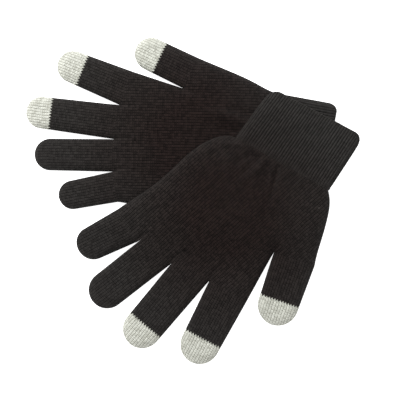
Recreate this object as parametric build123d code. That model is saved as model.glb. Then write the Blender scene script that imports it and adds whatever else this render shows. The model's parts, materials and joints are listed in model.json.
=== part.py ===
from build123d import *

import os
from math import cos, radians, sin

# A pair of knitted touchscreen gloves, lying flat with the backs of the hands up.
# The left glove lies on the surface. The right glove lies across its wrist and palm, and
# its fingers fall to the surface past the left glove's edge. Each glove is a hollow tube of
# one layer of knit: a ribbed cuff with a turned welt and elastic threads, a hand, five
# finger sleeves, and conductive tips on the thumb, index and middle fingers.
# Millimetres, +Z up. The fingers of the left glove point towards -X.

# Fabric
knit_wall = 1.5  # one layer of the plain knit
cuff_wall = 1.9  # one layer of the ribbed cuff
hand_slack = 5.6  # the space left between palm and back as the glove lies empty
cuff_slack = 5.4  # the same inside the cuff
hand_height = 2 * knit_wall + hand_slack
cuff_height = 2 * cuff_wall + cuff_slack

# How the right glove lies
lie_clearance = 0.4  # between the left glove's top and the right glove's underside
lie_height = max(hand_height, cuff_height) + lie_clearance
drape_start = -7.0  # y at which the right glove starts to fall, just past the left one's edge
drape_run = 42.0  # how far it takes to reach the surface

# Parts that move against each other
hinge_clearance = 0.3  # between a hand and a finger's root

# Cuff details
welt_length = 5.0  # the turned edge at the cuff's mouth
elastic_thread = 0.9  # width and depth of one laid-in elastic thread
elastic_rows = 6
elastic_bedding = elastic_thread / 2  # how deep a thread lies in the cuff's wall

reach = 300.0  # longer than the whole pair
tunnel = 6.0  # how far a hollow runs on into its neighbour, so that the two join
shortest_edge = 1.5  # root corners nearer to each other than this are one corner


class Finger:
    """One finger's place and size in plan: its place, where it points, and how big it is. The
    place is the middle of the root, or the step from the finger before (see Glove)."""

    def __init__(self, name, place, angle, length, root_width, tip_width, tip_length=0.0):
        self.name, self.root, self.angle, self.length = name, Vector(*place), angle, length
        self.root_width, self.tip_width, self.tip_length = root_width, tip_width, tip_length

    def point(self, along, across):
        """The plan point that far along the finger and to the right of it, as it points."""
        turn = radians(self.angle)
        ahead, right = Vector(cos(turn), sin(turn)), Vector(sin(turn), -cos(turn))
        return self.root + ahead * along + right * across

    def outline(self, start, inset):
        """The finger in plan from start along it to its round tip, moved in by inset."""
        half_root, radius = self.root_width / 2 - inset, self.tip_width / 2 - inset
        shoulder = self.length - self.tip_width / 2
        right = Line(self.point(start, half_root), self.point(shoulder, radius))
        tip = ThreePointArc(
            self.point(shoulder, radius),
            self.point(shoulder + radius, 0),
            self.point(shoulder, -radius),
        )
        left = Line(self.point(shoulder, -radius), self.point(start, -half_root))
        base = Line(self.point(start, -half_root), self.point(start, half_root))
        return make_face([right, tip, left, base])

    def tip_zone(self, start):
        """A block that holds everything further along the finger than start."""
        corners = [(start, -reach), (start, reach), (reach, reach), (reach, -reach)]
        return extrude(make_face(Polyline(*[self.point(*c) for c in corners], close=True)), reach)


class Glove:
    """One glove in plan. The thumb side runs from the wrist to the thumb's root, the crotch
    lies between thumb and index, and the fingers go from the index to the little finger. Each
    finger after the index is placed by the step from the near corner of the one before."""

    def __init__(self, side, wrist, mouth, thumb_side, little_side, thumb, fingers, drape):
        self.side, self.wrist, self.mouth = side, wrist, mouth
        self.thumb_side, self.little_side = thumb_side, little_side
        self.thumb, self.fingers, self.drape = thumb, fingers, drape
        self.inner = 1 if side == "left" else -1  # the side of a finger that faces the thumb
        for before, finger in zip(fingers, fingers[1:]):
            finger.root += before.point(0, -self.inner * before.root_width / 2)
            finger.root = finger.point(0, -self.inner * finger.root_width / 2)

    def all_fingers(self):
        return [self.thumb, *self.fingers]


left = Glove(
    side="left",
    wrist=((55.9, 72.0), (43.9, 7.7)),  # thumb side, little finger's side
    mouth=((96.1, 64.7), (84.1, 1.0)),
    thumb_side=[(49.6, 74.6), (39.0, 80.3), (25.5, 86.5)],
    little_side=[(-24.0, -4.8), (8.0, -4.6), (30.0, 1.4)],
    thumb=Finger("thumb", (-2.7, 85.9), 154.2, 40.9, 22.9, 22.1, 17.2),
    fingers=[
        Finger("index", (-46.1, 75.7), 158.0, 49.6, 24.2, 21.4, 17.4),
        Finger("middle", (-0.59, 0.07), 172.7, 61.6, 23.3, 21.4, 16.6),
        Finger("ring", (-0.75, 0.0), 179.1, 53.0, 21.9, 21.4),
        Finger("little", (-0.25, 0.02), 190.7, 38.8, 20.7, 19.4),
    ],
    drape=False,
)
right = Glove(
    side="right",
    wrist=((88.8, 6.6), (27.1, 41.9)),
    mouth=((112.2, 42.5), (51.3, 74.7)),
    thumb_side=[(89.8, -1.7), (88.0, -13.0), (84.4, -27.5)],
    little_side=[(-39.7, 2.0), (-22.8, 14.1), (-11.7, 24.3), (-0.3, 34.4), (10.9, 40.9), (19.8, 43.2)],
    thumb=Finger("thumb", (66.9, -39.3), 250.8, 46.8, 29.1, 27.5, 16.6),
    fingers=[
        Finger("index", (22.3, -60.9), 242.2, 54.0, 28.8, 26.5, 17.6),
        Finger("middle", (-0.07, 0.01), 229.8, 66.8, 27.2, 26.1, 16.4),
        Finger("ring", (-5.49, -6.49), 218.0, 56.4, 25.4, 25.1),
        Finger("little", (-7.36, -4.93), 207.0, 36.7, 25.2, 22.4),
    ],
    drape=True,
)


def band(low, high):
    """The layer between two heights above the draped glove's underside, as wide as the pair."""
    end = drape_start - drape_run

    def fall(z):
        middle = drape_start - drape_run / 2
        top, foot = z + lie_height, z
        return Bezier((0, drape_start, top), (0, middle, top), (0, middle, foot), (0, end, foot))

    edges = [
        Line((0, reach, high + lie_height), (0, drape_start, high + lie_height)),
        fall(high),
        Line((0, end, high), (0, -reach, high)),
        Line((0, -reach, high), (0, -reach, low)),
        Line((0, -reach, low), (0, end, low)),
        fall(low),
        Line((0, drape_start, low + lie_height), (0, reach, low + lie_height)),
        Line((0, reach, low + lie_height), (0, reach, high + lie_height)),
    ]
    return extrude(make_face(edges), reach, dir=(1, 0, 0), both=True)


def layer(glove, face, low, high):
    """A plan face as a solid between two heights above the glove's underside."""
    if glove.drape:
        return extrude(face, reach) & band(low, high)
    return Pos(0, 0, low) * extrude(face, high - low)


def between(a, b, share):
    """The point that far of the way from a to b."""
    return Vector(*a) + (Vector(*b) - Vector(*a)) * share


def cuff_face(glove, start, end, inset):
    """The cuff in plan, from start to end along it in mm from the wrist, moved in by inset at
    its two sides."""
    length = (between(*glove.mouth, 0.5) - between(*glove.wrist, 0.5)).length
    corners = []
    for distance in (start, end):
        thumb_end, little_end = (
            between(glove.wrist[i], glove.mouth[i], distance / length) for i in (0, 1)
        )
        share = inset / (little_end - thumb_end).length
        corners.append((between(thumb_end, little_end, share), between(little_end, thumb_end, share)))
    (a, b), (c, d) = corners
    return make_face(Polyline(a, b, d, c, close=True))


def cuff_length(glove):
    return (between(*glove.mouth, 0.5) - between(*glove.wrist, 0.5)).length


def elastic(glove):
    """The elastic threads as plan strips: each is a loop laid round inside the cuff."""
    pitch = (cuff_length(glove) - welt_length) / elastic_rows
    loops = []
    for row in range(elastic_rows):
        start = (row + 0.5) * pitch
        end = start + elastic_thread
        outside = cuff_face(glove, start, end, cuff_wall - elastic_bedding)
        inside = cuff_face(glove, start, end, cuff_wall + elastic_bedding)
        low, high = cuff_wall - elastic_bedding, cuff_height - cuff_wall + elastic_bedding
        depth = 2 * elastic_bedding
        loops.append(
            layer(glove, outside, low, high) - layer(glove, inside, low + depth, high - depth)
        )
    return loops


def cuff_parts(glove):
    """The cuff, its turned welt and its elastic threads."""
    length = cuff_length(glove)
    hollow = layer(
        glove, cuff_face(glove, -1, length + 1, cuff_wall), cuff_wall, cuff_height - cuff_wall
    )
    loops = elastic(glove)
    cuff = layer(glove, cuff_face(glove, 0, length - welt_length, 0), 0, cuff_height) - hollow
    for loop in loops:
        cuff -= loop
    welt = layer(glove, cuff_face(glove, length - welt_length, length, 0), 0, cuff_height) - hollow
    return {"cuff": cuff, "cuff_welt": welt, "cuff_elastic": Compound(loops)}


def inset_corners(points, amount):
    """A closed outline's corners moved in by amount, each along the line that halves it. The
    outline goes round either way."""
    around = [Vector(*p) for p in points]
    area = sum(a.X * b.Y - a.Y * b.X for a, b in zip(around, around[1:] + around[:1]))
    side = amount if area > 0 else -amount
    moved = []
    for before, here, after in zip(around[-1:] + around[:-1], around, around[1:] + around[:1]):
        into, out = (here - before).normalized(), (after - here).normalized()
        normal_in, normal_out = Vector(-into.Y, into.X), Vector(-out.Y, out.X)
        half = (normal_in + normal_out).normalized()
        moved.append(here + half * (side / half.dot(normal_in)))
    return moved


def hand_face(glove, inset=0.0):
    """The hand in plan, from the wrist to the roots of the fingers, moved in by inset."""
    roots = []
    for finger in glove.all_fingers():
        for side in (glove.inner, -glove.inner):
            corner = finger.point(0, side * finger.root_width / 2)
            if not roots or (corner - roots[-1]).length > shortest_edge:
                roots.append(corner)
    corners = [glove.wrist[0], *glove.thumb_side, *roots, *glove.little_side, glove.wrist[1]]
    corners = inset_corners(corners, inset)
    thumb_end = 1 + len(glove.thumb_side)
    little_end = thumb_end + len(roots) - 1
    return make_face(
        [
            Spline(*corners[: thumb_end + 1]),
            Polyline(*corners[thumb_end : little_end + 1]),
            Spline(*corners[little_end:]),
            Line(corners[-1], corners[0]),
        ]
    )


def hand_hollow(glove):
    """The space inside the hand, with its ways on into the fingers and the cuff."""
    top = hand_height - knit_wall
    space = layer(glove, hand_face(glove, knit_wall), knit_wall, top)
    for finger in glove.all_fingers():
        space += layer(glove, finger.outline(-tunnel, knit_wall), knit_wall, top)
    wrist_way = cuff_face(glove, -tunnel, 1, cuff_wall)
    return space + layer(glove, wrist_way, cuff_wall, top)


def finger_parts(glove, finger):
    """A finger's sleeve, and its conductive tip if it has one."""
    shell = layer(glove, finger.outline(hinge_clearance, 0), 0, hand_height)
    shell -= layer(glove, finger.outline(-tunnel, knit_wall), knit_wall, hand_height - knit_wall)
    if not finger.tip_length:
        return {finger.name: shell}
    tip = finger.tip_zone(finger.length - finger.tip_length)
    return {finger.name: shell - tip, f"{finger.name}_tip": shell & tip}


def glove_parts(glove):
    """Every piece of one glove, by its name without the side."""
    hand = layer(glove, hand_face(glove), 0, hand_height) - hand_hollow(glove)
    parts = {"hand": hand, **cuff_parts(glove)}
    for finger in glove.all_fingers():
        parts.update(finger_parts(glove, finger))
    return parts


def pair():
    """Every piece of both gloves by its full name, and the middle of the pair's box in plan."""
    nodes = {}
    for glove in (left, right):
        nodes.update({f"{glove.side}_{name}": part for name, part in glove_parts(glove).items()})
    middle = Compound([s for part in nodes.values() for s in part.solids()]).bounding_box().center()
    return nodes, Vector(middle.X, middle.Y, 0)


nodes, middle = pair()
os.makedirs("parts", exist_ok=True)
for name, part in nodes.items():
    placed = Pos(-middle.X, -middle.Y, 0) * Compound(part.solids())
    export_step(placed, f"parts/{name}.step")
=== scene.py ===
import json
import math

import bpy
import numpy as np
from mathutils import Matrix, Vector, noise


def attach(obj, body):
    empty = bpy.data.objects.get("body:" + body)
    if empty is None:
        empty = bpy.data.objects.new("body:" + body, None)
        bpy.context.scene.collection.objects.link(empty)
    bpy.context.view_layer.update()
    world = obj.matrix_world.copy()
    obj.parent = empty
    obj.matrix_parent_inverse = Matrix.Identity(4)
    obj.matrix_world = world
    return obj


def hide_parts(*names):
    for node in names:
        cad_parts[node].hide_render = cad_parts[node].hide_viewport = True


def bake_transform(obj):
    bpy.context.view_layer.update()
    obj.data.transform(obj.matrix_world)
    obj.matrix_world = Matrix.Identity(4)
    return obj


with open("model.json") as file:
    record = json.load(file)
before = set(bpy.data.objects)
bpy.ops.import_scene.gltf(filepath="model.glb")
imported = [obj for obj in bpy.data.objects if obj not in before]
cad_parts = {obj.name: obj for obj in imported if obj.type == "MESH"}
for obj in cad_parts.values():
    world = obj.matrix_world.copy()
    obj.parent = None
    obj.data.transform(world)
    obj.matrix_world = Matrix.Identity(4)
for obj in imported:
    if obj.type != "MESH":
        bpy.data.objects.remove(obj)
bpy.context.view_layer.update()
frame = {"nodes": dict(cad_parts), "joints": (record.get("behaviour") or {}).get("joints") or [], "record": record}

# A pair of knitted touchscreen gloves. Sizes are worked out in millimetres from the frame.
# Each glove is one surface of two layers, which meet at its free edges and swell apart away
# from them. Each piece is a grid of that surface in closed rings round the hand or finger.
# The UV map "knit" says where each point is on the knit, in mm across and along the wales.

record = frame["record"]

FINGERS = ("thumb", "index", "middle", "ring", "little")
EDGE_ROUND = 6.5  # how far in from a free edge the layers reach their full distance
AROUND = 40  # columns across one finger, on each layer
WEB = 3.0  # neighbouring fingers whose roots are further apart than this have a web between
BEND_RUN = 15.0  # the length past a finger's root that is passed on as its bend span

WALE = 1.87  # width of one stitch
COURSE = 1.42  # height of one stitch
CUFF_WALL = 1.7
WELT = 5.0  # how far the turned welt reaches down from the cuff's mouth
CORNER = {"left": 5.0, "right": 6.5}  # the mouth's corners, in plan
RIB_DEPTH = 0.24  # half the height of a rib
COLUMNS_PER_RIB = 7
ELASTIC_LOOPS = 6
ELASTIC_RADIUS = 0.45

TIP_COLUMNS = 208  # enough for several on each tooth
TOOTH = 1.9  # how far the first stitches of a tip reach, from valley to point
TOOTH_SHIFT = 0.3  # the share of that reach which lies past the end of the sleeve
TOOTH_FADE = 3.0  # the teeth straighten out over this length of the tip
TIP_PROUD = 0.12  # how far the tip's first rows stand out of the sleeve
SLEEVE_UNDER = 1.6  # how far a sleeve runs on under its tip
POLE = 0.01  # how far the closing point of a finger is past its last ring

SHEEN_FREE = 24.0  # no painted sheen this far from the middle of the palm
SHEEN_RUN = 62.0  # and the painted sheen lightens the knit over this distance
MOST_SHEEN = 1.3

UNTANGLE_PASSES = 250  # how often a crossed plan grid is evened
UNTANGLE_REACH = 4  # how many cells round a crossed one take part
FIRST_ROWS, LAST_ROWS = 56, 36  # rows of the hand before the thumb and after it
HAND_TUCK = 2.0  # how far the hand runs on inside the cuff


# ---------------------------------------------------------------- measuring the frame


def mm(point):
    return 1000 * np.array(point, float)


def edges_of(*nodes):
    """Both ends of every edge of the nodes' meshes, in mm."""
    ends = []
    for node in nodes:
        mesh = frame["nodes"][node].data
        co = np.empty(3 * len(mesh.vertices), np.float32)
        index = np.empty(2 * len(mesh.edges), np.int32)
        mesh.vertices.foreach_get("co", co)
        mesh.edges.foreach_get("vertices", index)
        ends.append(mm(co.reshape(-1, 3))[index.reshape(-1, 2)])
    return np.concatenate(ends)


def spans(ahead, across, distances):
    """The least and most across, where the edges pass each distance ahead. Both are given at
    the two ends of each edge."""
    low, high = ahead.min(1), ahead.max(1)
    step = ahead[:, 1] - ahead[:, 0]
    step = np.where(np.abs(step) < 1e-6, 1e-6, step)
    found = []
    for distance in distances:
        hit = (low <= distance) & (high >= distance)
        share = np.clip((distance - ahead[hit, 0]) / step[hit], 0, 1)
        there = across[hit, 0] + (across[hit, 1] - across[hit, 0]) * share
        found.append((there.min(), there.max()))
    return np.array(found)


def unit(vector):
    return vector / np.linalg.norm(vector)


def unit_rows(vectors):
    return vectors / np.maximum(np.linalg.norm(vectors, axis=-1, keepdims=True), 1e-9)


def turned(vector):
    """The plan vector turned a quarter anticlockwise."""
    return np.array([-vector[1], vector[0]])


def eased(count):
    """Numbers from -1 to 1 that crowd towards both ends."""
    return np.sin(np.linspace(-1, 1, count) * math.pi / 2)


def smooth(x):
    """Rises from 0 to 1 as x does, level at both ends."""
    x = np.clip(x, 0, 1)
    return x * x * (3 - 2 * x)


class Finger:
    """A finger's place and outline, measured from the frame."""

    def __init__(self, side, name):
        self.name = f"{side}_{name}"
        self.tip_node = self.name + "_tip"
        self.has_tip = self.tip_node in frame["nodes"]
        joint = next(j for j in frame["joints"] if j["child"] == self.name)
        self.root = mm(joint["pos_m"])[:2]
        axis = np.array(joint["axis"][:2])
        self.ahead = np.array([axis[1], -axis[0]])
        self.little = axis
        ends = edges_of(*([self.name, self.tip_node] if self.has_tip else [self.name]))[..., :2]
        self.along = (ends - self.root) @ self.ahead
        self.ends = ends
        self.length = self.along.max()
        self.sleeve_end = self.length
        if self.has_tip:
            tip = edges_of(self.tip_node)[..., :2]
            self.sleeve_end = ((tip - self.root) @ self.ahead).min()
        self.web = 0.0

    def face(self, towards):
        """Makes little the direction to the little finger's side."""
        if (towards - self.root) @ self.little < 0:
            self.little = -self.little
        across = (self.ends - self.root) @ self.little
        self.table_at = np.concatenate(
            [
                np.linspace(0.4, self.length - 15, 30),
                self.length - 15 * (1 - np.sin(np.linspace(0, 1, 90)[1:] * math.pi / 2)) - 0.002,
            ]
        )
        self.table = spans(self.along, across, self.table_at)
        self.corners = self.point(0, -1), self.point(0, 1)

    def sides(self, along):
        return np.stack([np.interp(along, self.table_at, self.table[:, k]) for k in (0, 1)], -1)

    def point(self, along, t):
        """The plan point that far along, at t from -1, the thumb's side, to 1."""
        along, t = np.asarray(along, float), np.asarray(t, float)
        sides = self.sides(along)
        across = sides[..., 0] + (sides[..., 1] - sides[..., 0]) * (t + 1) / 2
        return self.root + along[..., None] * self.ahead + across[..., None] * self.little


class Glove:
    """A glove's outline, fall and thickness, measured from the frame."""

    def __init__(self, side):
        self.side = side
        self.fingers = [Finger(side, name) for name in FINGERS]
        self.thumb, four = self.fingers[0], self.fingers[1:]
        self.four = four
        self.thumb.face(four[0].root)
        for finger in four:
            finger.face(finger.root + four[3].root - four[0].root)
        for before, after in zip(four, four[1:]):
            gap = np.linalg.norm(after.corners[0] - before.corners[1])
            if gap > WEB:
                before.web = gap
        knuckles = np.mean([finger.root for finger in four], axis=0)
        mouth = next(m for m in record["mounts"] if m["name"] == side + "_cuff_mouth")
        mouth = mm(mouth["pos_m"])[:2]
        arm = unit(mouth - knuckles)
        little = turned(arm)
        if little @ (four[3].root - four[0].root) < 0:
            little = -little
        cuff = edges_of(side + "_cuff", side + "_cuff_welt")
        corners = cuff[..., :2].reshape(-1, 2)

        def corner(out, over):
            return corners[np.argmax(corners @ (arm * out + little * over))]

        self.wrist = corner(-1, -1), corner(-1, 1)
        self.mouth = corner(1, -1), corner(1, 1)
        self.wrist_middle = (self.wrist[0] + self.wrist[1]) / 2
        self.cuff_height = cuff[..., 2].max() - cuff[..., 2].min()
        self.axis = unit(knuckles - self.wrist_middle)
        self.across = turned(self.axis)
        if self.across @ little < 0:
            self.across = -self.across
        self.palm = (self.wrist_middle + knuckles) / 2
        self.measure_sides()
        self.measure_fall()
        self.free = self.free_edges()

    def measure_sides(self):
        """The hand's two free sides in plan, from the wrist to the thumb and the little finger."""
        ends = edges_of(self.side + "_hand")[..., :2] - self.wrist_middle
        ahead, over = ends @ self.axis, ends @ self.across

        def side(start, end, pick):
            first = (start - self.wrist_middle) @ self.axis
            last = (end - self.wrist_middle) @ self.axis
            at = np.linspace(first, last, int(abs(last - first)) + 2)[1:-1]
            far = spans(ahead, over, at)[:, pick]
            middle = self.wrist_middle + at[:, None] * self.axis + far[:, None] * self.across
            return np.concatenate([[start], middle, [end]])

        self.thumb_side = side(self.wrist[0], self.thumb.corners[0], 0)
        self.little_side = side(self.wrist[1], self.four[3].corners[1], 1)

    def measure_fall(self):
        """The height of the glove's underside at each y, and the hand's thickness."""
        nodes = [n for n in frame["nodes"] if n.startswith(self.side) and "elastic" not in n]
        ends = edges_of(*nodes)
        low, high = ends[..., 1].min(), ends[..., 1].max()
        self.fall_at = np.linspace(low + 0.01, high - 0.01, 400)
        self.fall = spans(ends[..., 1], ends[..., 2], self.fall_at)[:, 0]
        here = edges_of(self.side + "_hand")
        y = here[..., 1].mean()
        low, high = spans(here[..., 1], here[..., 2], [y])[0]
        self.height = high - low

    def free_edges(self):
        """Both ends of each piece of the outline where the two layers meet."""
        runs = [
            np.array([self.mouth[0], self.wrist[0]]),
            np.array([self.mouth[1], self.wrist[1]]),
            self.thumb_side,
            self.little_side,
            np.array([self.thumb.corners[1], self.four[0].corners[0]]),
        ]
        for finger in self.fingers:
            curve = finger.table_at
            runs.append(finger.point(np.concatenate([[0], curve]), -1))
            later = curve[curve > finger.web + 0.3]
            runs.append(finger.point(np.concatenate([[finger.web], later]), 1))
        return np.concatenate([np.stack([run[:-1], run[1:]], axis=1) for run in runs])

    def inward(self, points):
        """How far each plan point is from the nearest free edge."""
        flat = points.reshape(-1, 2)
        start = self.free[:, 0]
        run = self.free[:, 1] - start
        square = np.maximum((run**2).sum(1), 1e-12)
        out = np.empty(len(flat))
        for first in range(0, len(flat), 2048):
            part = flat[first : first + 2048, None, :] - start
            share = np.clip((part * run).sum(2) / square, 0, 1)
            gap = part - share[..., None] * run
            out[first : first + 2048] = np.sqrt((gap**2).sum(2).min(1))
        return out.reshape(points.shape[:-1])

    def past_wrist(self, points):
        """How far each plan point is past the line where the cuff ends."""
        normal = turned(unit(self.wrist[1] - self.wrist[0]))
        if normal @ self.axis < 0:
            normal = -normal
        return (points - self.wrist_middle) @ normal

    def base(self, points):
        """The height of the underside at each plan point."""
        return np.interp(points[..., 1], self.fall_at, self.fall)

    def layers(self, points):
        """The heights of the top and the bottom layer at each plan point."""
        inward = self.inward(points)
        swell = np.sqrt(1 - (1 - np.clip(inward / EDGE_ROUND, 0, 1)) ** 2)
        middle = self.base(points) + self.height / 2
        ahead = np.minimum(self.past_wrist(points), 40)
        relief = relief_of(self, points) * smooth(inward / 5) * smooth((ahead - 0.3) / 4.5)
        return middle + swell * self.height / 2 + relief, middle - swell * self.height / 2


# ---------------------------------------------------------------- folds and creases

# Each fold is a few points of a line in plan, its width and how high it stands, or how deep it
# is when that is negative, in mm. A fold is full at its first point and fades towards its last.
FOLDS = {
    "left": [
        ([(34.0, 52.6), (24.0, 56.6), (14.1, 58.7), (-3.8, 59.6)], 3.4, 1.8),
        ([(36.5, 58.0), (29.0, 61.4), (20.0, 63.6)], 2.8, -1.3),
        ([(31.0, 46.6), (23.0, 48.2), (13.0, 50.0)], 2.8, -1.5),
    ],
    "right": [
        ([(56.6, 24.0), (53.6, 12.6), (50.7, 2.4), (49.0, -6.0)], 1.9, -2.6),
        ([(60.4, 22.0), (57.6, 12.0), (55.0, 2.0)], 2.6, 1.2),
        ([(50.0, 25.0), (48.0, 14.0), (46.0, 4.0)], 3.2, -2.2),
        ([(44.0, 29.6), (34.4, 20.7), (23.0, 12.0)], 2.8, -1.9),
        ([(47.6, 26.0), (40.0, 18.6), (29.0, 9.7)], 2.4, 1.0),
        ([(35.6, 36.6), (25.4, 38.1), (14.0, 36.1)], 2.4, 1.2),
        ([(40.9, 31.9), (31.7, 27.2), (20.0, 23.0)], 3.0, -2.0),
        ([(66.0, 18.6), (65.0, 10.0), (66.0, 0.0)], 3.2, -0.8),
        ([(75.0, 13.6), (77.0, 5.0), (77.0, -4.0)], 3.0, -0.8),
    ],
}


def crotch_folds(glove):
    """A short crease runs on into the hand from between each two fingers."""
    folds = []
    for before, after in zip(glove.four, glove.four[1:]):
        start = after.corners[0] if before.web else (before.corners[1] + after.corners[0]) / 2
        back = -unit(before.ahead + after.ahead)
        bend = turned(back) * 1.6
        folds.append(([start, start + back * 7 + bend, start + back * 15], 1.25, -1.3))
        folds.append(([start + back * 13.5 + bend, start + back * 15], 1.3, 1.3))
    start = glove.thumb.corners[1]
    back = -unit(glove.thumb.ahead + glove.four[0].ahead)
    folds.append(([start, start + back * 8, start + back * 15], 1.9, -0.9))
    return folds


def near(points, run):
    """How far each point is from a line, and how far along the line the nearest place is."""
    best = np.full(points.shape[:-1], 1e9)
    where = np.zeros(points.shape[:-1])
    lengths = [np.linalg.norm(b - a) for a, b in zip(run, run[1:])]
    done, total = 0.0, sum(lengths)
    for start, end, length in zip(run, run[1:], lengths):
        offset = points - start
        share = np.clip((offset @ (end - start)) / length**2, 0, 1)
        gap = np.linalg.norm(offset - share[..., None] * (end - start), axis=-1)
        closer = gap < best
        best = np.where(closer, gap, best)
        where = np.where(closer, (done + share * length) / total, where)
        done += length
    return best, where


def curve_through(points, count=14):
    """A smooth line through a few plan points."""
    points = [np.array(p, float) for p in points]
    if len(points) < 3:
        return np.array(points)
    ends = [2 * points[0] - points[1], *points, 2 * points[-1] - points[-2]]
    out = []
    for a, b, c, d in zip(ends, ends[1:], ends[2:], ends[3:]):
        for t in np.linspace(0, 1, count, endpoint=False):
            square = (2 * a - 5 * b + 4 * c - d) * t**2
            cube = (3 * b - a - 3 * c + d) * t**3
            out.append(0.5 * (2 * b + (c - a) * t + square + cube))
    return np.array(out + [points[-1]])


def relief_of(glove, points):
    """How much the folds and the unevenness of the cloth raise the top layer."""
    if not hasattr(glove, "folds"):
        folds = crotch_folds(glove) + FOLDS[glove.side]
        glove.folds = [(curve_through(run), *rest) for run, *rest in folds]
    total = np.zeros(points.shape[:-1])
    for run, width, height in glove.folds:
        gap, where = near(points, run)
        fade = smooth((1 - where) / 0.6)
        total += height * fade * np.exp(-((gap / width) ** 2))
    flat = points.reshape(-1, 2)
    seed = 7.3 if glove.side == "left" else 31.7
    slow = [noise.noise(Vector((x * 0.045, y * 0.045, seed))) for x, y in flat]
    quick = [noise.noise(Vector((x * 0.13, y * 0.13, seed + 5))) for x, y in flat]
    uneven = 0.55 * np.array(slow) + 0.22 * np.array(quick)
    return total + uneven.reshape(total.shape)


# ---------------------------------------------------------------- making meshes


def corners_of(grid):
    """The four corners of each cell of a grid, in order round it."""
    return [grid[:-1, :-1], grid[:-1, 1:], grid[1:, 1:], grid[1:, :-1]]


def tube(glove, name, rings, knit, material, pole=None):
    """A mesh of closed rings, each joined to the next and turned so that it faces out. knit is
    each point's place on the knit and has one more column, where the ring closes. A pole
    closes the far end."""
    quarter = rings.shape[1] // 4
    across = rings[0, quarter + 1] - rings[0, quarter]
    ahead = rings[1, quarter] - rings[0, quarter]
    if np.cross(across, ahead)[2] < 0:
        rings = np.roll(rings[:, ::-1], 1, axis=1)
        knit = knit[:, ::-1]
    rows, columns = rings.shape[:2]
    number = np.arange(rows * columns).reshape(rows, columns)
    number = np.concatenate([number, number[:, :1]], axis=1)
    faces = np.stack(corners_of(number), -1).reshape(-1, 4).tolist()
    places = np.stack(corners_of(knit), -2).reshape(-1, 2).tolist()
    points = rings.reshape(-1, 3).tolist()
    if pole is not None:
        points.append(list(pole))
        for i in range(columns):
            faces.append((number[-1, i], number[-1, i + 1], rows * columns))
            middle = (knit[-1, i] + knit[-1, i + 1]) / 2
            places += [knit[-1, i].tolist(), knit[-1, i + 1].tolist(), middle.tolist()]
    return mesh_object(glove, name, points, faces, places, material)


def mesh_object(glove, name, points, faces, places, material):
    """A mesh from points in mm, with its place on the knit and how much painted sheen it gets."""
    mesh = bpy.data.meshes.new(name)
    mesh.from_pydata((np.array(points) / 1000).tolist(), [], faces)
    layer = mesh.uv_layers.new(name="knit")
    layer.data.foreach_set("uv", np.array(places, np.float32).ravel())
    mesh.polygons.foreach_set("use_smooth", np.ones(len(mesh.polygons), bool))
    mesh.materials.append(material)
    # Painted sheen: the knit is drawn lighter and greyer the further a point is from the middle of the palm.
    away = np.linalg.norm(np.array(points)[:, :2] - glove.palm, axis=1)
    sheen_amount = np.clip((away - SHEEN_FREE) / SHEEN_RUN, 0, MOST_SHEEN)
    painted_sheen = mesh.attributes.new("painted_sheen", "FLOAT", "POINT")
    painted_sheen.data.foreach_set("value", sheen_amount.astype(np.float32))
    mesh.validate()
    obj = bpy.data.objects.new(name, mesh)
    bpy.context.scene.collection.objects.link(obj)
    return obj


def ring_rows(glove, plan, over, ahead):
    """Closed rings from a grid of plan points: over the top layer and back along the bottom.
    over and ahead are the points' places across and along the knit, in plan."""
    top, bottom = glove.layers(plan)
    middle = glove.base(plan) + glove.height / 2
    upper = np.concatenate([plan, top[..., None]], -1)
    lower = np.concatenate([plan, bottom[..., None]], -1)
    for end in (0, -1):
        upper[:, end, 2] = middle[:, end]
    rings = np.concatenate([upper, lower[:, -2:0:-1]], axis=1)
    step = np.linalg.norm(np.diff(upper, axis=1), axis=-1)
    flat = np.linalg.norm(np.diff(plan, axis=1), axis=-1)
    reached = np.cumsum(flat, axis=1)
    at_side = np.minimum(reached, reached[:, -1:] - reached) < EDGE_ROUND
    more = np.cumsum((step - flat) * at_side, axis=1)
    extra = np.concatenate([np.zeros((len(plan), 1)), more], axis=1)
    extra -= extra[:, extra.shape[1] // 2][:, None]
    across = over + extra
    edge = across[:, -1:]
    around = np.concatenate([across, 2 * edge - across[:, -2::-1]], axis=1)
    along = np.concatenate([ahead, ahead[:, -2::-1]], axis=1)
    return rings, np.stack([around, along], -1)


def finish(obj, body, slot, *nodes, bend=None):
    """Ties a piece to its body, or, when it is given a bend, only bakes its place into its points; and hides the
    parts it replaces.
    """
    if bend:
        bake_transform(obj)
    else:
        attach(obj, body)
    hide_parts(*nodes)


# ---------------------------------------------------------------- materials


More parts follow.
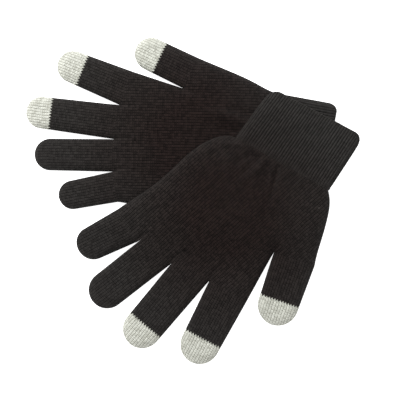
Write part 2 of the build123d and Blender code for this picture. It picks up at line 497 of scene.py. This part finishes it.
class Nodes:
    """A material's node tree, with arithmetic."""

    def __init__(self, name):
        self.material = bpy.data.materials.new(name)
        self.material.use_nodes = True
        self.tree = self.material.node_tree
        self.shader = self.tree.nodes["Principled BSDF"]

    def put(self, socket, value):
        """Links another node's output to a socket, or sets the socket's value."""
        if isinstance(value, bpy.types.NodeSocket):
            self.tree.links.new(value, socket)
        else:
            socket.default_value = value

    def math(self, operation, *values):
        node = self.tree.nodes.new("ShaderNodeMath")
        node.operation = operation
        for socket, value in zip(node.inputs, values):
            self.put(socket, value)
        return node.outputs[0]

    def add(self, *v):
        return self.math("ADD", *v)

    def mul(self, *v):
        return self.math("MULTIPLY", *v)

    def sub(self, *v):
        return self.math("SUBTRACT", *v)

    def knit_place(self):
        """The place on the knit, and its two parts across and along the wales."""
        node = self.tree.nodes.new("ShaderNodeUVMap")
        node.uv_map = "knit"
        split = self.tree.nodes.new("ShaderNodeSeparateXYZ")
        self.put(split.inputs[0], node.outputs[0])
        return node.outputs[0], split.outputs[0], split.outputs[1]

    # The painted sheen attribute, which lightens the knit away from the palm.
    def painted_sheen(self):
        node = self.tree.nodes.new("ShaderNodeAttribute")
        node.attribute_name = "painted_sheen"
        return node.outputs["Fac"]

    def joined(self, x, y, z=0.0):
        node = self.tree.nodes.new("ShaderNodeCombineXYZ")
        for socket, value in zip(node.inputs, (x, y, z)):
            self.put(socket, value)
        return node.outputs[0]

    def noise(self, place, scale, detail=2.0, rough=0.5):
        node = self.tree.nodes.new("ShaderNodeTexNoise")
        self.put(node.inputs["Vector"], place)
        node.inputs["Scale"].default_value = scale
        node.inputs["Detail"].default_value = detail
        node.inputs["Roughness"].default_value = rough
        return node.outputs[0]

    def chance(self, place):
        node = self.tree.nodes.new("ShaderNodeTexWhiteNoise")
        node.noise_dimensions = "2D"
        self.put(node.inputs["Vector"], place)
        return node.outputs[0]

    def cells(self, place, scale):
        node = self.tree.nodes.new("ShaderNodeTexVoronoi")
        self.put(node.inputs["Vector"], place)
        node.inputs["Scale"].default_value = scale
        return node.outputs["Distance"], node.outputs["Color"]

    def ramp(self, factor, *stops):
        node = self.tree.nodes.new("ShaderNodeValToRGB")
        self.put(node.inputs[0], factor)
        elements = node.color_ramp.elements
        while len(elements) < len(stops):
            elements.new(0.5)
        for element, (place, colour) in zip(elements, stops):
            element.position = place
            element.color = (*colour, 1) if len(colour) == 3 else colour
        return node.outputs[0]

    def mix(self, factor, a, b):
        node = self.tree.nodes.new("ShaderNodeMix")
        node.data_type = "RGBA"
        self.put(node.inputs[0], factor)
        self.put(node.inputs[6], a)
        self.put(node.inputs[7], b)
        return node.outputs[2]

    def bump(self, height, depth):
        node = self.tree.nodes.new("ShaderNodeBump")
        node.inputs["Strength"].default_value = 1.0
        node.inputs["Distance"].default_value = depth
        self.put(node.inputs["Height"], height)
        self.put(self.shader.inputs["Normal"], node.outputs[0])


def rounded(n, x):
    """A node value from 0 to 1 as the height of a round yarn: 1 - (1 - x)**2."""
    return n.sub(1.0, n.math("POWER", n.sub(1.0, x), 2.0))


def stitches(n, u, v):
    """How high the yarn stands in a plain knit: two slanting legs to each stitch."""
    slant, groove, gap_width = 0.55, 0.35, 0.6
    from_middle = n.math("ABSOLUTE", n.sub(n.math("FRACT", n.mul(u, 1 / WALE)), 0.5))
    side = n.mul(from_middle, 2.0)
    rise = n.math("FRACT", n.add(n.mul(v, 1 / COURSE), n.mul(side, slant)))
    inner = n.math("MINIMUM", n.add(n.mul(side, 1 / groove), 0.25), 1.0)
    outer = n.math("MINIMUM", n.mul(n.sub(1.0, side), 1 / gap_width), 1.0)
    leg = n.mul(rounded(n, inner), rounded(n, outer))
    loop = n.sub(1.0, n.math("POWER", n.math("ABSOLUTE", n.sub(n.mul(rise, 2.0), 1.0)), 2.0))
    return n.mul(leg, n.add(0.58, n.mul(loop, 0.42)))


def shifted(n, value, place, scale, detail, amount):
    """The value moved about by noise, by up to half the amount each way."""
    return n.add(value, n.mul(n.sub(n.noise(place, scale, detail), 0.5), amount))


def knit_material(
    name, dark, light, sheen_light, depth, sheen, gap=0.0, lint=False, rough=0.92, contrast=1.0
):
    """A knit whose colour goes from dark, painted shade in its grooves, to light, the yarn on top. Where painted
    sheen is laid on, towards the ends of the fingers and the cuff, it goes to a lighter, greyer colour instead.
    Lint adds a few pale specks, and lets the painted sheen make the grooves paler too."""
    n = Nodes(name)
    place, u, v = n.knit_place()
    u = shifted(n, u, place, 0.11, 3.0, 1.0)
    v = shifted(n, v, place, 0.17, 2.0, 1.3)
    u = shifted(n, u, place, 0.75, 2.0, 0.5)
    v = shifted(n, v, n.joined(v, u), 0.75, 2.0, 0.8)
    height = stitches(n, u, v)
    cell = n.joined(n.math("FLOOR", n.mul(u, 1 / WALE)), n.math("FLOOR", n.mul(v, 1 / COURSE)))
    each = n.chance(cell)
    fibre = n.noise(place, 4.5, 4.0, 0.65)
    # The yarn's height sets painted shade: the grooves between the legs are drawn dark and the tops light. A
    # random tone for each stitch and the fibre are added to this.
    shade = n.add(n.mul(height, 0.9), n.mul(n.sub(each, 0.5), 0.45 * contrast))
    shade = n.add(shade, n.mul(n.sub(fibre, 0.5), 0.5))
    slow = n.sub(n.noise(place, 0.035, 3.0), 0.5)
    # Painted sheen: the yarn's top and, with lint, its grooves are mixed towards a lighter, greyer colour away
    # from the palm.
    painted_sheen = n.math("MAXIMUM", n.add(n.painted_sheen(), n.mul(slow, 0.35)), 0.0)
    top = n.mix(n.math("MINIMUM", painted_sheen, 1.0), (*light, 1), (*sheen_light, 1))
    low = n.mix(n.mul(painted_sheen, 0.2), (*dark, 1), (*sheen_light, 1)) if lint else (*dark, 1)
    colour = n.mix(n.ramp(shade, (gap, (0, 0, 0)), (0.95, (1, 1, 1))), low, top)
    if lint:
        distance, kind = n.cells(place, 0.16)
        split = n.tree.nodes.new("ShaderNodeSeparateColor")
        n.put(split.inputs[0], kind)
        rare = n.math("GREATER_THAN", split.outputs[0], 0.93)
        small = n.math("LESS_THAN", distance, 0.04)
        colour = n.mix(n.mul(n.mul(rare, small), 0.35), colour, (0.32, 0.30, 0.28, 1))
    n.put(n.shader.inputs["Base Color"], colour)
    roughness = n.ramp(shade, (0.0, (rough + 0.06,) * 3), (1.0, (rough - 0.08,) * 3))
    n.put(n.shader.inputs["Roughness"], roughness)
    n.shader.inputs["Specular IOR Level"].default_value = 0.08
    n.shader.inputs["Sheen Weight"].default_value = sheen
    n.shader.inputs["Sheen Roughness"].default_value = 0.5
    n.shader.inputs["Sheen Tint"].default_value = (0.9, 0.89, 0.88, 1)
    n.bump(n.add(height, n.mul(fibre, 0.35)), depth)
    return n.material


# In each knit the first colour is painted shade for the grooves, the second the yarn on top, and the third the
# yarn under painted sheen, away from the palm.
black = knit_material(
    "black_plain_knit",
    (0.0012, 0.0006, 0.0005),
    (0.0205, 0.0128, 0.0112),
    (0.0310, 0.0284, 0.0266),
    0.0007,
    sheen=0.02,
    gap=0.14,
    lint=True,
)
ribbed = knit_material(
    "black_rib_knit",
    (0.0042, 0.0031, 0.0027),
    (0.0150, 0.0098, 0.0086),
    (0.0320, 0.0304, 0.0286),
    0.0005,
    sheen=0.02,
    lint=True,
)
pale = knit_material(
    "pale_conductive_knit",
    (0.31, 0.31, 0.26),
    (0.66, 0.68, 0.60),
    (0.69, 0.70, 0.63),
    0.0006,
    sheen=0.1,
    gap=0.16,
    rough=0.82,
    contrast=0.9,
)


def elastic_material():
    """A dark covered thread with a twist."""
    n = Nodes("elastic_thread")
    place, u, v = n.knit_place()
    twist = n.math("SINE", n.mul(n.add(n.mul(u, 2.4), n.mul(v, 2.2)), 2.0))
    shade = n.add(n.mul(twist, 0.35), n.noise(place, 3.0))
    colour = n.ramp(shade, (0.1, (0.004, 0.004, 0.004)), (0.9, (0.03, 0.028, 0.027)))
    n.put(n.shader.inputs["Base Color"], colour)
    n.put(n.shader.inputs["Roughness"], n.ramp(shade, (0.0, (0.75,) * 3), (1.0, (0.55,) * 3)))
    n.bump(twist, 0.0002)
    return n.material


elastic_yarn = elastic_material()


# ---------------------------------------------------------------- hands


def at_lengths(run, shares):
    """Points at shares of a line's length."""
    step = np.linalg.norm(np.diff(run, axis=0), axis=1)
    reached = np.concatenate([[0], np.cumsum(step)])
    reached /= reached[-1]
    return np.stack([np.interp(shares, reached, run[:, k]) for k in (0, 1)], -1)


def length_of(run):
    return np.linalg.norm(np.diff(run, axis=0), axis=1).sum()


def web_line(before, finger):
    """The edge between two fingers' roots, which keeps to the first finger's side and leaves it
    only near the crotch."""
    share = np.linspace(0, 1, 11)[1:-1]
    straight = before.corners[1] + (finger.corners[0] - before.corners[1]) * share[:, None]
    beside = before.point(share * before.web, 1)
    return beside + (straight - beside) * (share[:, None] ** 4)


def crossed(grid):
    """Which cells of a plan grid are turned over, because rows or columns cross there."""
    down, across = grid[1:, :-1] - grid[:-1, :-1], grid[:-1, 1:] - grid[:-1, :-1]
    up, back = grid[:-1, 1:] - grid[1:, 1:], grid[1:, :-1] - grid[1:, 1:]
    first = down[..., 0] * across[..., 1] - down[..., 1] * across[..., 0]
    second = up[..., 0] * back[..., 1] - up[..., 1] * back[..., 0]
    way = np.sign(np.median(first))
    return (first * way <= 0) | (second * way <= 0)


def untangled(grid):
    """Evens a plan grid out round its crossed cells. Its border and the rest stay as they are."""
    for _ in range(UNTANGLE_PASSES):
        bad = crossed(grid)
        if not bad.any():
            break
        loose = np.zeros(grid.shape[:2], bool)
        loose[:-1, :-1] = bad
        for axis in (0, 1):
            for _ in range(UNTANGLE_REACH):
                loose = loose | np.roll(loose, 1, axis) | np.roll(loose, -1, axis)
        even = grid.copy()
        even[1:-1, 1:-1] = (grid[:-2, 1:-1] + grid[2:, 1:-1] + grid[1:-1, :-2] + grid[1:-1, 2:]) / 4
        grid = np.where(loose[..., None], even, grid)
    return grid


def knuckle_line(glove, t):
    """The edge of the hand along the four fingers' roots and the webs between them."""
    parts = []
    for before, finger in zip([None] + glove.four, glove.four):
        if before is not None and before.web:
            parts.append(web_line(before, finger))
        parts.append(finger.point(np.zeros(len(t)), t))
    return np.concatenate(parts)


def thumb_edge(glove, t, far_corner):
    """The edge of the hand on the thumb's side, and each of its points' share of its length."""
    a, b = glove.thumb.corners
    last = np.array([b, far_corner])
    lengths = [length_of(glove.thumb_side), np.linalg.norm(b - a), length_of(last)]
    first_rows = np.linspace(0, 1, FIRST_ROWS)
    thumb_rows = (t + 1) / 2
    last_rows = np.linspace(0, 1, LAST_ROWS)
    reached = [
        first_rows * lengths[0],
        lengths[0] + thumb_rows[1:] * lengths[1],
        lengths[0] + lengths[1] + last_rows[1:] * lengths[2],
    ]
    points = [
        at_lengths(glove.thumb_side, first_rows),
        glove.thumb.point(np.zeros(len(t)), t)[1:],
        at_lengths(last, last_rows[1:]),
    ]
    return np.concatenate(points), np.concatenate(reached) / sum(lengths)


def make_hand(glove):
    """The hand: its plan grid is drawn between its four edges, with one ring to each row."""
    t = eased(AROUND + 1)
    far = knuckle_line(glove, t)
    left, v = thumb_edge(glove, t, far[0])
    right = at_lengths(glove.little_side, v)
    step = np.linalg.norm(np.diff(far, axis=0), axis=1)
    u = np.concatenate([[0], np.cumsum(step)]) / step.sum()
    near_row = glove.wrist[0] + u[:, None] * (glove.wrist[1] - glove.wrist[0])
    U, V = u[None, :, None], v[:, None, None]
    grid = (1 - V) * near_row[None] + V * far[None]
    grid = grid + (1 - U) * left[:, None] + U * right[:, None]
    grid -= (1 - U) * (1 - V) * near_row[0] + U * (1 - V) * near_row[-1]
    grid -= (1 - U) * V * far[0] + U * V * far[-1]
    grid = untangled(grid)
    offset = grid - glove.wrist_middle
    rings, knit = ring_rows(glove, grid, offset @ glove.across, offset @ glove.axis)
    tuck = rings[0].copy()
    tuck[:, :2] -= glove.axis * HAND_TUCK
    middle = glove.base(tuck[:, :2]) + glove.height / 2
    tuck[:, 2] = middle + (tuck[:, 2] - middle) * 0.85
    rings = np.concatenate([tuck[None], rings])
    knit = np.concatenate([knit[:1] - [0, HAND_TUCK], knit])
    obj = tube(glove, glove.side + "_hand_knit", rings, knit, black)
    finish(obj, glove.side + "_hand", "plain_knit", glove.side + "_hand")


# ---------------------------------------------------------------- fingers


def finger_rows(finger, start, end):
    """Distances along a finger, about a millimetre apart and closer at a round end."""
    if end < finger.length - 1:
        return np.linspace(start, end, int(end - start) + 2)
    shoulder = finger.length - 12
    straight = np.linspace(start, shoulder, max(2, int(shoulder - start) + 2))
    bunched = np.sin(np.linspace(0, 1, 34)[1:] * math.pi / 2)
    round_end = shoulder + (finger.length - shoulder) * bunched
    round_end[-1] = finger.length - 0.012
    return np.concatenate([straight, round_end])


def finger_grid(glove, finger, along, t):
    plan = finger.point(along, t)
    over = (plan - finger.root) @ finger.little
    return ring_rows(glove, plan, over, along)


def end_pole(finger, rings):
    """The point that closes a finger's round end."""
    pole = rings[-1].mean(axis=0)
    pole[:2] += finger.ahead * POLE
    return pole


def make_finger(glove, finger):
    """The black sleeve, and the tip if there is one."""
    t = eased(AROUND + 1)
    hand, body = glove.side + "_hand", finger.name
    under = SLEEVE_UNDER if finger.has_tip else 0.0
    rows = finger_rows(finger, 0.0, finger.sleeve_end + under)
    along = np.repeat(rows[:, None], len(t), 1)
    rings, knit = finger_grid(glove, finger, along, t)
    pole = None
    if finger.has_tip:
        middle = rings.mean(axis=1, keepdims=True)
        tuck = smooth((rows - (finger.sleeve_end - 0.6)) / 1.2) * 0.035
        rings = rings + (middle - rings) * tuck[:, None, None]
    else:
        pole = end_pole(finger, rings)
    obj = tube(glove, finger.name + "_sleeve", rings, knit, black, pole)
    start = finger.root + finger.ahead * finger.web
    end = start + finger.ahead * BEND_RUN
    height = (glove.base(start) + glove.height / 2) / 1000
    bend = ((*start / 1000, height), (*end / 1000, height))
    finish(obj, (hand, body), "plain_knit", finger.name, bend=bend)
    if finger.has_tip:
        make_tip(glove, finger)


def make_tip(glove, finger):
    """The conductive tip. Its first stitches reach up between the black ones."""
    t = eased(TIP_COLUMNS + 1)
    rows = finger_rows(finger, finger.sleeve_end, finger.length)
    along = np.repeat(rows[:, None], len(t), 1)
    sides = finger.sides(finger.sleeve_end)
    half = (sides[1] - sides[0]) / 2
    teeth = np.abs(((t * half / WALE) % 1.0) - 0.5) * 2
    pull = (TOOTH_SHIFT - teeth) * TOOTH
    fade = np.clip(1 - (rows - rows[0]) / TOOTH_FADE, 0, 1)
    along = along + fade[:, None] * pull[None]
    rings, knit = finger_grid(glove, finger, along, t)
    middle = rings.mean(axis=1, keepdims=True)
    out = rings - middle
    out /= np.maximum(np.linalg.norm(out, axis=-1, keepdims=True), 1e-6)
    proud = TIP_PROUD * np.clip(1 - (rows - rows[0]) / 6, 0, 1)
    rings = rings + out * proud[:, None, None]
    obj = tube(glove, finger.tip_node + "_knit", rings, knit, pale, end_pole(finger, rings))
    finish(obj, finger.name, "conductive_knit", finger.tip_node)


# ---------------------------------------------------------------- cuffs


def section(width, height, inset, count):
    """A flattened ring round the arm, as distances across and heights: count even steps round
    from the thumb's side over the top, the way out of the surface at each, and its length."""
    t = eased(241)
    x = inset + (width - 2 * inset) * (t + 1) / 2
    rounding = EDGE_ROUND - inset
    from_side = np.clip(np.minimum(x, width - x) - inset, 0, rounding)
    swell = np.sqrt(1 - (1 - from_side / rounding) ** 2)
    z = swell * (height / 2 - inset)
    loop = np.concatenate([np.stack([x, z], -1), np.stack([x, -z], -1)[-2::-1]])
    reached = np.concatenate([[0], np.cumsum(np.linalg.norm(np.diff(loop, axis=0), axis=1))])
    at = np.linspace(0, reached[-1], count, endpoint=False)
    points = np.stack([np.interp(at, reached, loop[:, k]) for k in (0, 1)], -1)
    ahead = np.roll(points, -1, axis=0) - np.roll(points, 1, axis=0)
    out = np.stack([-ahead[:, 1], ahead[:, 0]], -1)
    out /= np.linalg.norm(out, axis=1, keepdims=True)
    return points, out, reached[-1]


def cuff_ring(glove, along, length, inset, height, columns, ribs, depth, swell=0.0):
    """One ring of the cuff, that far along from the wrist."""
    share = along / length
    a = glove.wrist[0] + (glove.mouth[0] - glove.wrist[0]) * share
    b = glove.wrist[1] + (glove.mouth[1] - glove.wrist[1]) * share
    width = np.linalg.norm(b - a)
    points, out = section(width, height, inset, columns)[:2]
    turn = np.arange(columns) / columns * ribs
    rib = -np.cos(2 * math.pi * turn) + 0.3 * np.sin(math.pi * turn)
    points = points + out * (rib * depth + swell)[:, None]
    corner = CORNER[glove.side] - inset * 0.6
    from_side = np.minimum(points[:, 0], width - points[:, 0]) - inset
    into = np.clip(corner - from_side, 0, corner)
    back = corner - np.sqrt(np.maximum(corner**2 - into**2, 0))
    back = back * smooth((along - (length - 13)) / 13) * 0.9
    plan = a + (b - a) * (points[:, :1] / width)
    arm = unit((glove.mouth[0] + glove.mouth[1] - glove.wrist[0] - glove.wrist[1]) / 2)
    plan = plan - arm * back[:, None]
    base = glove.base(plan) + glove.cuff_height / 2
    return np.concatenate([plan, (base + points[:, 1])[:, None]], axis=1)


def make_cuff(glove):
    """The ribbed cuff with its lining, the turned welt at its mouth and the elastic inside."""
    length = np.linalg.norm((glove.mouth[0] + glove.mouth[1] - glove.wrist[0] - glove.wrist[1]) / 2)
    width = np.linalg.norm(glove.wrist[1] - glove.wrist[0])
    around = section(width, glove.cuff_height, 0, 400)[2]
    ribs = 2 * round(around / WALE / 2)
    columns = ribs * COLUMNS_PER_RIB
    knit_around = np.arange(columns + 1) / columns * ribs * WALE

    def ring(along, inset, depth, swell=0.0):
        grow = smooth(along / 7)
        height = glove.height + (glove.cuff_height - 0.5 - glove.height) * grow
        return cuff_ring(glove, along, length, inset, height, columns, ribs, depth, swell)

    def rib_depth(along):
        return RIB_DEPTH * smooth(along / 6) * (1 - 0.4 * smooth((along - length + 9) / 9))

    def stack(rows):
        rings = np.array([r for r, _ in rows])
        knit = np.array([np.stack([knit_around, np.full(columns + 1, v)], -1) for _, v in rows])
        return rings, knit

    joint = length - WELT
    outer = np.linspace(0, joint, 32)
    inner = np.linspace(joint, 0.6, 16)
    rows = [(ring(s, 0, rib_depth(s)), s) for s in outer]
    outside = tube(glove, glove.side + "_cuff_rib", *stack(rows), ribbed)
    lining = [(ring(s, CUFF_WALL, 0.12), s) for s in inner]
    lining.append((ring(0.3, 0.6, 0), -1.0))
    inside = tube(glove, glove.side + "_cuff_lining", *stack(lining[::-1]), ribbed)
    inside.data.flip_normals()
    for piece in (outside, inside):
        finish(piece, glove.side + "_hand", "rib_knit", glove.side + "_cuff")

    rows = []
    for s in np.linspace(joint, length - 1, 6):
        rows.append((ring(s, 0, rib_depth(s), 0.12 * smooth((s - joint) / 2)), s))
    thick = CUFF_WALL / 2
    for angle in np.linspace(0, math.pi, 9)[1:-1]:
        inset = thick - thick * math.cos(angle)
        s = length - 1 + 1.0 * math.sin(angle)
        depth = rib_depth(s) * (1 - 0.7 * inset / CUFF_WALL)
        rows.append((ring(s, inset, depth, 0.12), s + inset))
    rows += [(ring(s, CUFF_WALL, 0.12), 2 * length - s) for s in np.linspace(length - 1, joint, 5)]
    welt = tube(glove, glove.side + "_cuff_welt_rib", *stack(rows), ribbed)
    finish(welt, glove.side + "_hand", "rib_knit", glove.side + "_cuff_welt")
    make_elastic(glove, ring, length)


def make_elastic(glove, ring, length):
    """The elastic threads laid round inside the cuff, as one piece."""
    thread, sides = ELASTIC_RADIUS, 8
    pitch = (length - WELT) / ELASTIC_LOOPS
    step_u, step_v = 0.8, 0.35
    points, faces, places = [], [], []
    for row in range(ELASTIC_LOOPS):
        path = ring((row + 0.5) * pitch + thread, CUFF_WALL, 0.0)[::3]
        count = len(path)
        ahead = unit_rows(np.roll(path, -1, axis=0) - np.roll(path, 1, axis=0))
        arm = np.array([*unit(glove.mouth[0] - glove.wrist[0]), 0.0])
        out = unit_rows(np.cross(ahead, arm))
        side = np.cross(out, ahead)
        first = len(points)
        for k in range(sides):
            angle = 2 * math.pi * k / sides
            offset = out * math.cos(angle) * thread + side * math.sin(angle) * thread
            points += (path + offset).tolist()
        for k in range(sides):
            here, there = first + k * count, first + (k + 1) % sides * count
            v, next_v = k * step_v, k * step_v + step_v
            for i in range(count):
                j = (i + 1) % count
                u, next_u = i * step_u, i * step_u + step_u
                faces.append([here + i, here + j, there + j, there + i])
                places += [(u, v), (next_u, v), (next_u, next_v), (u, next_v)]
    name = glove.side + "_elastic_loops"
    obj = mesh_object(glove, name, points, faces, places, elastic_yarn)
    finish(obj, glove.side + "_hand", "elastic_thread", glove.side + "_cuff_elastic")


for side in ("left", "right"):
    glove = Glove(side)
    make_hand(glove)
    make_cuff(glove)
    for finger in glove.fingers:
        make_finger(glove, finger)


# ---------------------------------------------------------------- floor, light and camera


def floor_material():
    n = Nodes("pale_floor")
    n.shader.inputs["Base Color"].default_value = (0.93, 0.93, 0.93, 1)
    n.shader.inputs["Emission Color"].default_value = (1, 1, 1, 1)
    n.shader.inputs["Emission Strength"].default_value = 0.95
    n.shader.inputs["Roughness"].default_value = 1.0
    n.shader.inputs["Specular IOR Level"].default_value = 0.0
    return n.material


FLOOR_HALF = 3.0
FLOOR_HEIGHT = -0.0002  # just clear of the lowest ribs
floor_corners = [(-1, -1), (1, -1), (1, 1), (-1, 1)]
floor_points = [(FLOOR_HALF * x, FLOOR_HALF * y, FLOOR_HEIGHT) for x, y in floor_corners]
floor_mesh = bpy.data.meshes.new("floor")
floor_mesh.from_pydata(floor_points, [], [(0, 1, 2, 3)])
floor_mesh.materials.append(floor_material())
floor = bpy.data.objects.new("floor", floor_mesh)
bpy.context.scene.collection.objects.link(floor)

scene = bpy.context.scene
scene.view_settings.view_transform = "Standard"
world = bpy.data.worlds.new("studio")
world.use_nodes = True
world.node_tree.nodes["Background"].inputs[0].default_value = (1, 1, 1, 1)
world.node_tree.nodes["Background"].inputs[1].default_value = 0.62
scene.world = world


def area_light(name, place, aim, size, power):
    """A square light that faces its aim."""
    light = bpy.data.lights.new(name, "AREA")
    light.energy = power
    light.size = size
    obj = bpy.data.objects.new(name, light)
    obj.location = place
    obj.rotation_euler = (Vector(aim) - Vector(place)).to_track_quat("-Z", "Y").to_euler()
    scene.collection.objects.link(obj)


area_light("softbox", (-0.36, 0.46, 0.72), (0, 0, 0), 0.42, 10.5)

VIEW_WIDTH = 0.268  # what the camera sees across, at the height of VIEW_LEVEL
VIEW_LEVEL = 0.009
LENS, SENSOR = 100.0, 36.0
camera = bpy.data.cameras.new("camera")
camera.lens = LENS
camera.sensor_width = SENSOR
camera.clip_start = 0.01
view = bpy.data.objects.new("camera", camera)
view.location = (0.00426, 0.00059, VIEW_WIDTH * LENS / SENSOR + VIEW_LEVEL)
scene.collection.objects.link(view)
scene.camera = view
